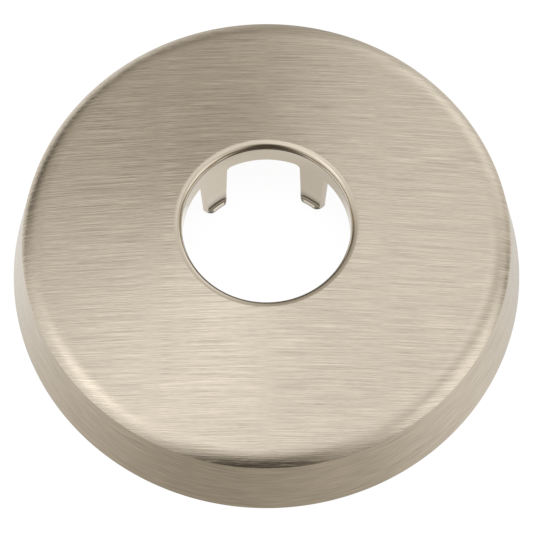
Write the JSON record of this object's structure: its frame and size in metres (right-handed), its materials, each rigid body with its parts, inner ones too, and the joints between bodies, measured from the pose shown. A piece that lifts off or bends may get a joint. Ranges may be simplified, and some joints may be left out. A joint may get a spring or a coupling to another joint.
{
  "type": "shower arm flange",
  "caption": "Round brushed nickel cover for a shower arm, with a low conical face, a sloped skirt and a short neck whose hooked spring fingers grip the pipe",
  "frame": {"origin": "the centre of the rim's plane, which lies on the finished wall", "axes": "+Z is the pipe's axis, from the wall out into the room. X and Y lie in the wall. In the picture +X is to the right and +Y is to the back"},
  "size_m": [0.068, 0.068, 0.0137],
  "materials": {
    "flange": "brushed nickel, grained in straight lines across the face and round the skirt"
  },
  "bodies": {
    "root": {"flange": "flange"}
  },
  "joints": []
}
